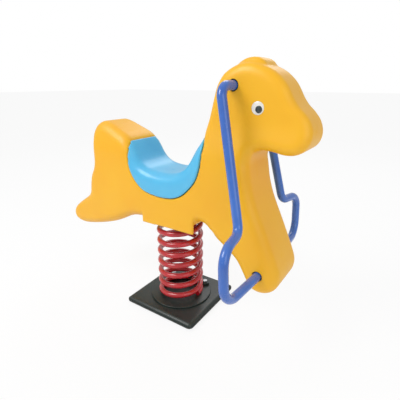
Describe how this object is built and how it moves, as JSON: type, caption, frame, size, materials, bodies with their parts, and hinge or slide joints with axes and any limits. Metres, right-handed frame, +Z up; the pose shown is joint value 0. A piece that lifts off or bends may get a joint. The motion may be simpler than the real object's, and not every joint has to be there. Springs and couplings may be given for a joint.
{
  "type": "spring rider",
  "caption": "Horse-shaped playground rider: hollow moulded horse with saddle seat and bent-pipe handles and foot rests, standing on one heavy coil spring and a square base plate.",
  "frame": {"origin": "centre of the base plate's underside, on the ground", "axes": "+X the way the horse looks, +Y its left side, +Z up along the spring"},
  "size_m": [0.9654, 0.568, 0.8659],
  "materials": {
    "black_paint": "satin",
    "red_paint": "gloss",
    "yellow_shell": "satin",
    "blue_seat": "satin",
    "blue_pipe": "gloss",
    "zinc_steel": "satin",
    "dark_rubber": "matte",
    "eye_white": "gloss",
    "eye_dark": "gloss"
  },
  "bodies": {
    "base": {"base_plate": "black_paint", "foot_disc": "black_paint", "lower_clamp_1": "black_paint", "lower_clamp_2": "black_paint", "lower_clamp_3": "black_paint", "lower_clamp_bolt_1": "zinc_steel", "lower_clamp_bolt_2": "zinc_steel", "lower_clamp_bolt_3": "zinc_steel"},
    "spring": {"spring": "red_paint"},
    "rider": {"backing_plate": "zinc_steel", "body_bolt_1": "zinc_steel", "body_bolt_2": "zinc_steel", "body_bolt_3": "zinc_steel", "body_bolt_4": "zinc_steel", "body_nut_1": "zinc_steel", "body_nut_2": "zinc_steel", "body_nut_3": "zinc_steel", "body_nut_4": "zinc_steel", "body_shell": "yellow_shell", "eye_pupil_left": "eye_dark", "eye_pupil_right": "eye_dark", "eye_white_left": "eye_white", "eye_white_right": "eye_white", "handle_left": "blue_pipe", "handle_right": "blue_pipe", "head_bush_left": "dark_rubber", "head_bush_right": "dark_rubber", "head_pin_left": "zinc_steel", "head_pin_right": "zinc_steel", "head_sleeve": "zinc_steel", "leg_bush_left": "dark_rubber", "leg_bush_right": "dark_rubber", "leg_pin_left": "zinc_steel", "leg_pin_right": "zinc_steel", "leg_sleeve": "zinc_steel", "seat": "blue_seat", "seat_bolt_1": "zinc_steel", "seat_bolt_2": "zinc_steel", "seat_bolt_3": "zinc_steel", "seat_bolt_4": "zinc_steel", "top_plate": "black_paint", "upper_clamp_1": "black_paint", "upper_clamp_2": "black_paint", "upper_clamp_3": "black_paint", "upper_clamp_bolt_1": "zinc_steel", "upper_clamp_bolt_2": "zinc_steel", "upper_clamp_bolt_3": "zinc_steel"}
  },
  "joints": [
    {"name": "side_rock", "type": "hinge", "parent": "base", "child": "spring", "pos_m": [0, 0, 0.115], "axis": [1, 0, 0], "range_deg": [-12, 12], "stiffness_Nm_per_rad": 460, "deforming": ["spring"]},
    {"name": "fore_aft_rock", "type": "hinge", "parent": "spring", "child": "rider", "pos_m": [0, 0, 0.265], "axis": [0, 1, 0], "range_deg": [-15, 15], "stiffness_Nm_per_rad": 460, "springref_deg": -1.64, "deforming": ["spring"]}
  ]
}
